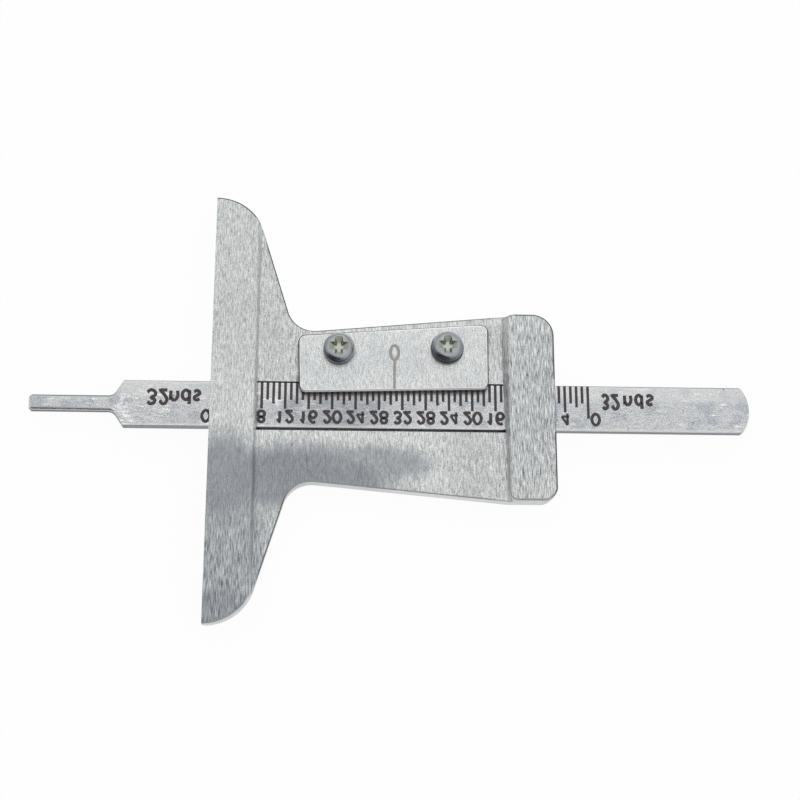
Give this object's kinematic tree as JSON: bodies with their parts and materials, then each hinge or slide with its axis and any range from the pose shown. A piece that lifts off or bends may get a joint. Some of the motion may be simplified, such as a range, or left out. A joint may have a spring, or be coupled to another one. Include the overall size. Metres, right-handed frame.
{
  "type": "tire tread depth gauge",
  "caption": "T-shaped tread depth gauge: a cast base with a flat measuring face, a graduated sliding rule ending in a narrow probe, and a screwed index plate.",
  "frame": {"origin": "on the flat back, under the zero line of the index plate and on the centre line of the rule", "axes": "+X along the rule towards its tail, so the probe points to -X; +Y across the rule towards the index plate and its screws; +Z from the flat back towards the scale side"},
  "size_m": [0.0979, 0.0592, 0.0065],
  "materials": {
    "cast_base": "die-cast aluminium, linished across the bars to a fine grain",
    "rule": "rolled aluminium strip, satin, with dark printed scale",
    "plate": "punched aluminium sheet, lightly brushed, with a faint index line",
    "screws": "zinc-plated steel, bluish, slightly glossy",
    "washers": "zinc-plated spring steel, darker than the heads",
    "spring": "bare spring steel strip"
  },
  "bodies": {
    "base": {"base_frame": "cast_base", "index_plate": "plate", "plate_screw_left": "screws", "plate_screw_right": "screws", "spring_washer_left": "washers", "spring_washer_right": "washers", "friction_spring": "spring"},
    "rule": {"slide_rule": "rule"}
  },
  "joints": [
    {"name": "rule_slide", "type": "slide", "parent": "base", "child": "rule", "axis": [1, 0, 0], "range_m": [-0.02645, 0.02435]}
  ]
}
